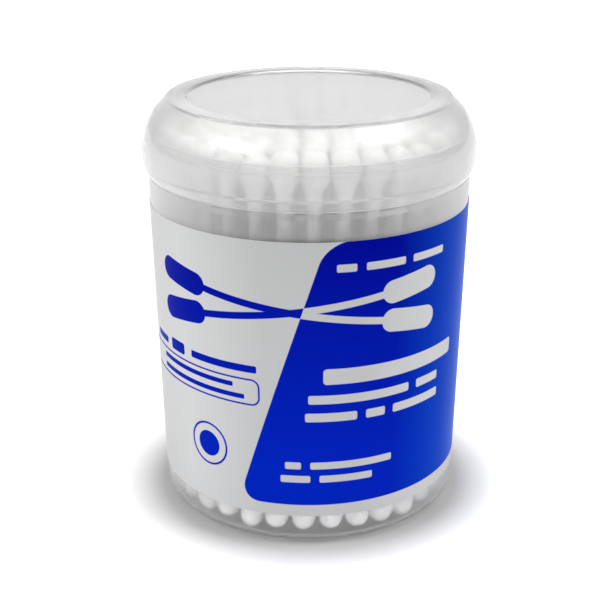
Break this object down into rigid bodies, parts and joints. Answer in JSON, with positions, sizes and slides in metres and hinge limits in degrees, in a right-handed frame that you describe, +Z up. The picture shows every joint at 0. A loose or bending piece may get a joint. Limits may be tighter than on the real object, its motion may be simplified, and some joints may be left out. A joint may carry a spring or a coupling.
{
  "type": "cotton swab tub",
  "caption": "Clear round tub of cotton swabs standing on end, with a lift-off domed lid and a wrap-round label.",
  "frame": {"origin": "centre of the foot ring, on the surface the tub stands on", "axes": "+Z up along the tub's axis, -Y towards the front of the label, +X to the right seen from there"},
  "size_m": [0.066, 0.066, 0.0833],
  "materials": {
    "clear_plastic": "clear, glossy, moulded",
    "printed_label": "glossy printed film, blue field on white",
    "cotton_swab": "matt white cotton on a smooth white stick"
  },
  "bodies": {
    "tub": {"tub": "clear_plastic", "label": "printed_label", "swab_01": "cotton_swab", "swab_02": "cotton_swab", "swab_03": "cotton_swab", "swab_04": "cotton_swab", "swab_05": "cotton_swab", "swab_06": "cotton_swab", "swab_07": "cotton_swab", "swab_08": "cotton_swab", "swab_09": "cotton_swab", "swab_10": "cotton_swab", "swab_11": "cotton_swab", "swab_12": "cotton_swab", "swab_13": "cotton_swab", "swab_14": "cotton_swab", "swab_15": "cotton_swab", "swab_16": "cotton_swab", "swab_17": "cotton_swab", "swab_18": "cotton_swab", "swab_19": "cotton_swab", "swab_20": "cotton_swab", "swab_21": "cotton_swab", "swab_22": "cotton_swab", "swab_23": "cotton_swab", "swab_24": "cotton_swab", "swab_25": "cotton_swab", "swab_26": "cotton_swab", "swab_27": "cotton_swab", "swab_28": "cotton_swab", "swab_29": "cotton_swab", "swab_30": "cotton_swab", "swab_31": "cotton_swab", "swab_32": "cotton_swab", "swab_ring_2": "cotton_swab", "swab_ring_3": "cotton_swab", "swab_ring_4": "cotton_swab", "swab_ring_5": "cotton_swab"},
    "lid": {"lid": "clear_plastic"}
  },
  "joints": [
    {"name": "lid_lift", "type": "slide", "parent": "tub", "child": "lid", "axis": [0, 0, 1], "range_m": [0, 0.03]}
  ]
}
